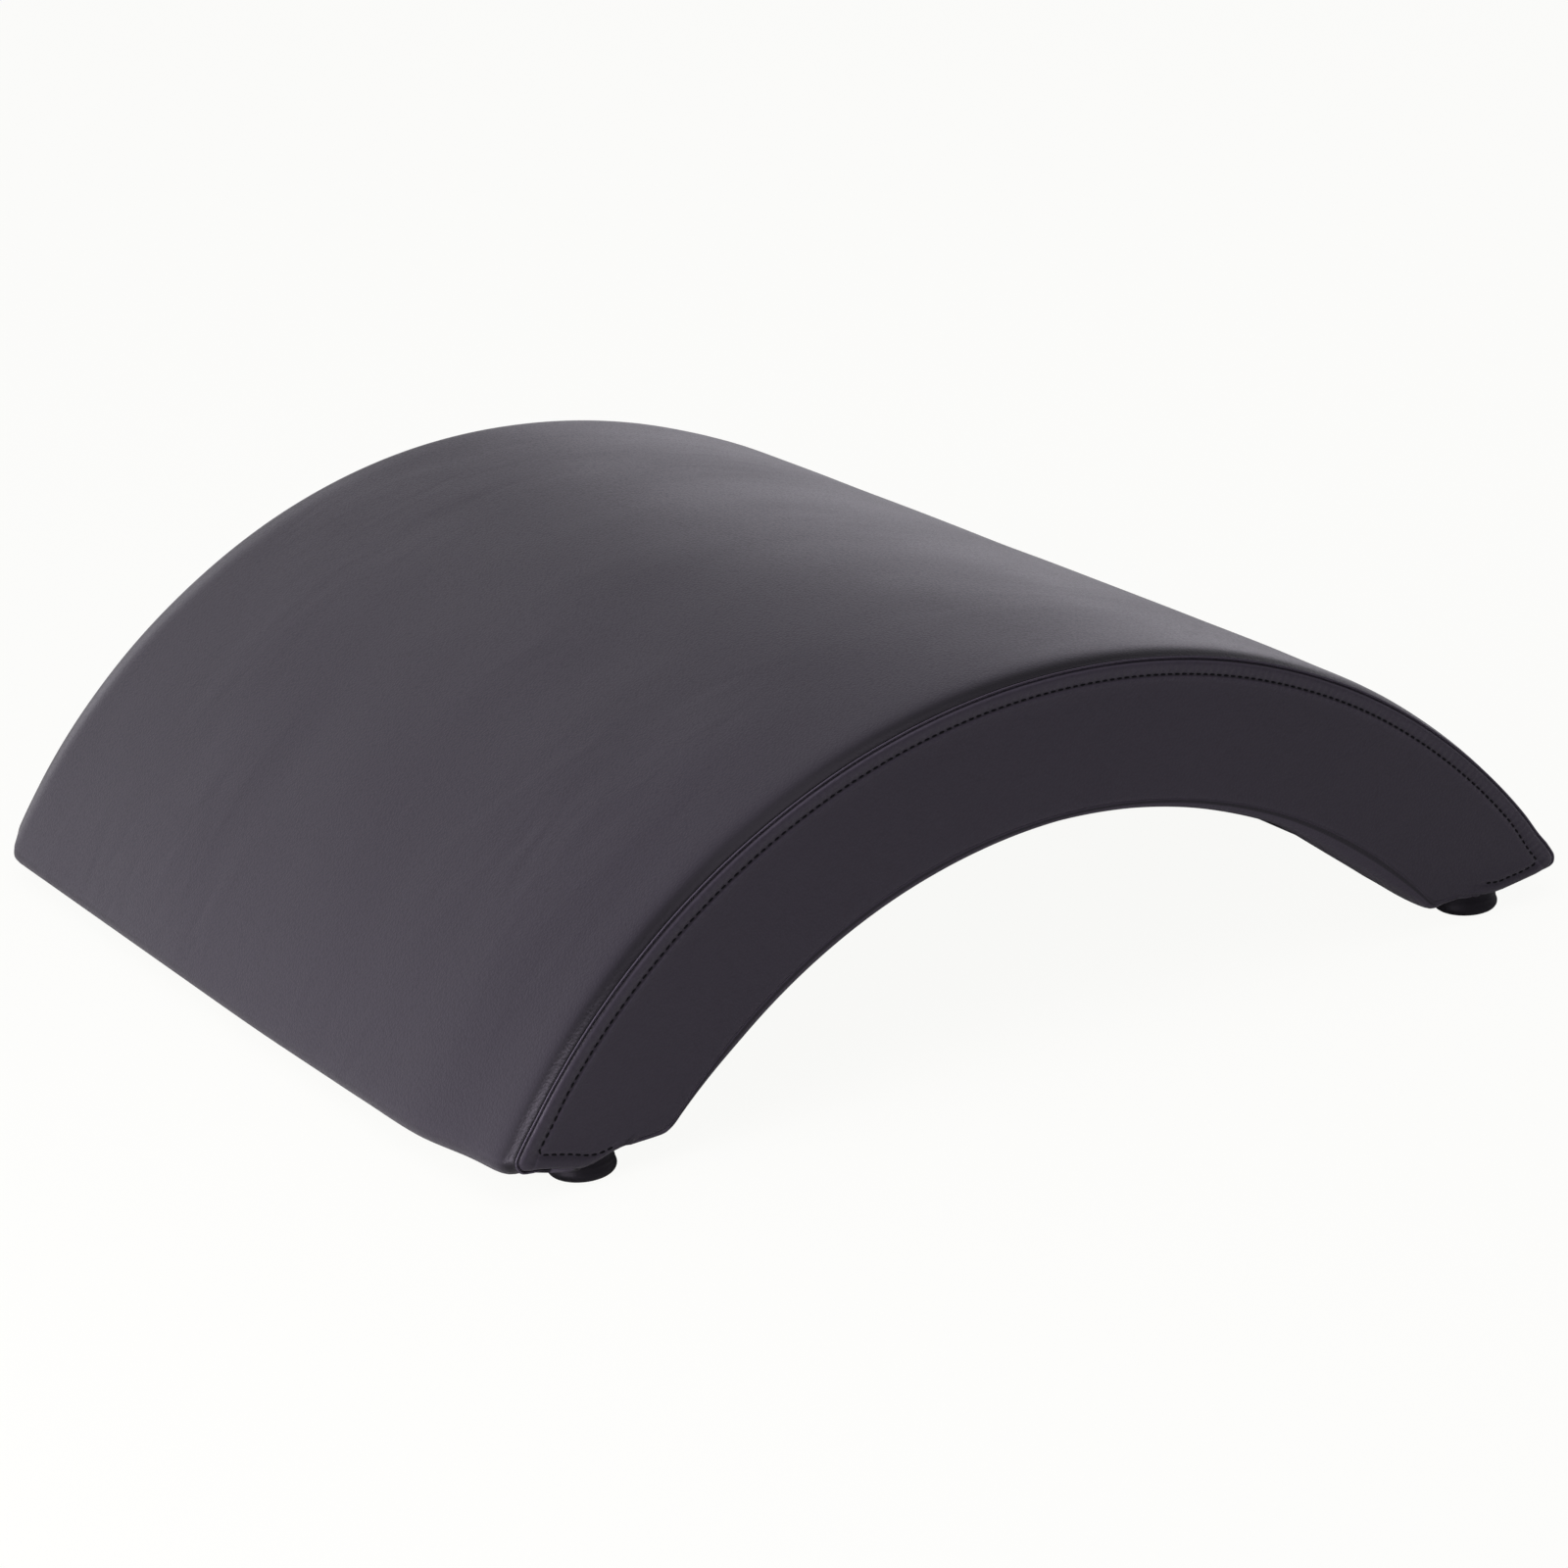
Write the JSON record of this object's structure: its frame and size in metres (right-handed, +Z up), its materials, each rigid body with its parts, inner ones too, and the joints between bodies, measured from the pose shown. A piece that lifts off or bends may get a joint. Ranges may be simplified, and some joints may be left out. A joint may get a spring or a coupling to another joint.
{
  "type": "upholstered pilates arc",
  "caption": "Low padded arch with sewn, topstitched side panels over a bent plywood frame, open underneath and standing on small round rubber feet.",
  "frame": {"origin": "on the floor, under the middle of the arc", "axes": "+X along the arc from its left leg to its right leg, +Y across it towards the rear side panel, +Z up"},
  "size_m": [0.5398, 0.5006, 0.1632],
  "materials": {
    "leatherette": "charcoal, fine grain, satin",
    "foam": "open-cell, matt",
    "plywood": "bare, sanded",
    "softwood": "bare, planed",
    "rubber": "matt black",
    "zinc_steel": "zinc plated"
  },
  "bodies": {
    "root": {"top_cover": "leatherette", "front_side_cover": "leatherette", "rear_side_cover": "leatherette", "underside_cover": "leatherette", "top_foam": "foam", "front_side_foam": "foam", "rear_side_foam": "foam", "top_deck": "plywood", "soffit_panel": "plywood", "front_rib": "plywood", "centre_rib": "plywood", "rear_rib": "plywood", "left_end_rail": "softwood", "right_end_rail": "softwood", "front_batten_1": "softwood", "front_batten_2": "softwood", "front_batten_3": "softwood", "front_batten_4": "softwood", "front_batten_5": "softwood", "rear_batten_1": "softwood", "rear_batten_2": "softwood", "rear_batten_3": "softwood", "rear_batten_4": "softwood", "rear_batten_5": "softwood", "front_left_foot": "rubber", "front_right_foot": "rubber", "rear_left_foot": "rubber", "rear_right_foot": "rubber", "front_left_washer": "zinc_steel", "front_left_screw": "zinc_steel", "front_right_washer": "zinc_steel", "front_right_screw": "zinc_steel", "rear_left_washer": "zinc_steel", "rear_left_screw": "zinc_steel", "rear_right_washer": "zinc_steel", "rear_right_screw": "zinc_steel"}
  },
  "joints": []
}
